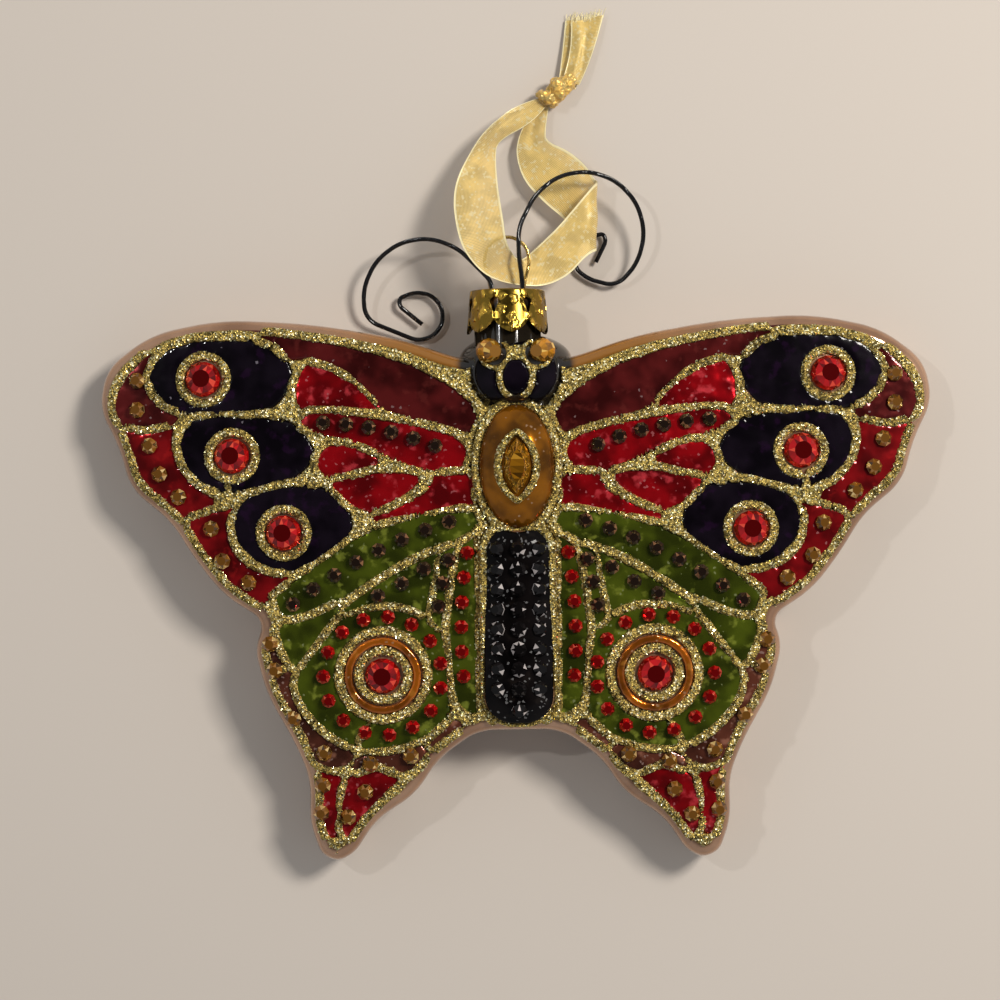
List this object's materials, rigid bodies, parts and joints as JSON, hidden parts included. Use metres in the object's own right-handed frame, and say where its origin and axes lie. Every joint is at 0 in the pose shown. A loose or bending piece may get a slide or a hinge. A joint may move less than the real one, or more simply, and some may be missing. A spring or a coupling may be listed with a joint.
{
  "type": "butterfly ornament",
  "caption": "Blown glass butterfly ornament for hanging, with enamelled wing cells, glitter veins, flat-back stones, curled wire antennae, a metal crown cap, hanger ring and ribbon loop.",
  "frame": {"origin": "on the flat glass back under the thorax, on the centre line of the butterfly", "axes": "+X to the right wing tip seen from the front, +Y towards the head, cap and ribbon, +Z out of the decorated front"},
  "size_m": [0.1204, 0.1223, 0.0177],
  "materials": {
    "lustre_glass": "gloss",
    "maroon_enamel": "gloss",
    "red_enamel": "gloss",
    "black_enamel": "gloss",
    "dark_red_enamel": "gloss",
    "green_enamel": "gloss",
    "brown_enamel": "gloss",
    "amber_lacquer": "gloss",
    "thorax_lacquer": "gloss",
    "black_lacquer": "gloss",
    "gold_glitter": "sparkling grain",
    "ruby_stone": "gloss",
    "smoke_stone": "gloss",
    "topaz_stone": "gloss",
    "jet_stone": "gloss",
    "amber_stone": "gloss",
    "cap_metal": "embossed and polished",
    "hanger_metal": "polished",
    "antenna_black": "gloss",
    "gold_organza": "sheer weave"
  },
  "bodies": {
    "glass": {"glass_shell": "lustre_glass", "enamel_maroon": "maroon_enamel", "enamel_red": "red_enamel", "enamel_black": "black_enamel", "enamel_dark_red": "dark_red_enamel", "enamel_green": "green_enamel", "enamel_brown": "brown_enamel", "amber_rings": "amber_lacquer", "thorax_lacquer": "thorax_lacquer", "abdomen_lacquer": "black_lacquer", "head_lacquer": "black_lacquer", "glitter_face": "gold_glitter", "glitter_lines": "gold_glitter", "glitter_bands": "gold_glitter", "ruby_stones": "ruby_stone", "ruby_beads": "ruby_stone", "smoke_stones": "smoke_stone", "topaz_stones": "topaz_stone", "jet_stones": "jet_stone", "eye_stones": "amber_stone", "navette_stone": "amber_stone"},
    "cap": {"crown_cap": "cap_metal", "antenna_left": "antenna_black", "antenna_right": "antenna_black", "ribbon_loop": "gold_organza", "ribbon_knot": "gold_organza", "ribbon_tails": "gold_organza"},
    "hanger": {"hanger_wire": "hanger_metal"}
  },
  "joints": [
    {"name": "cap_pull", "type": "slide", "parent": "glass", "child": "cap", "axis": [0, 1, 0], "range_m": [0, 0.012]},
    {"name": "hanger_tilt", "type": "hinge", "parent": "cap", "child": "hanger", "pos_m": [-0.0011, 0.0321, 0.0085], "axis": [1, 0, 0], "range_deg": [-6, 6]}
  ]
}
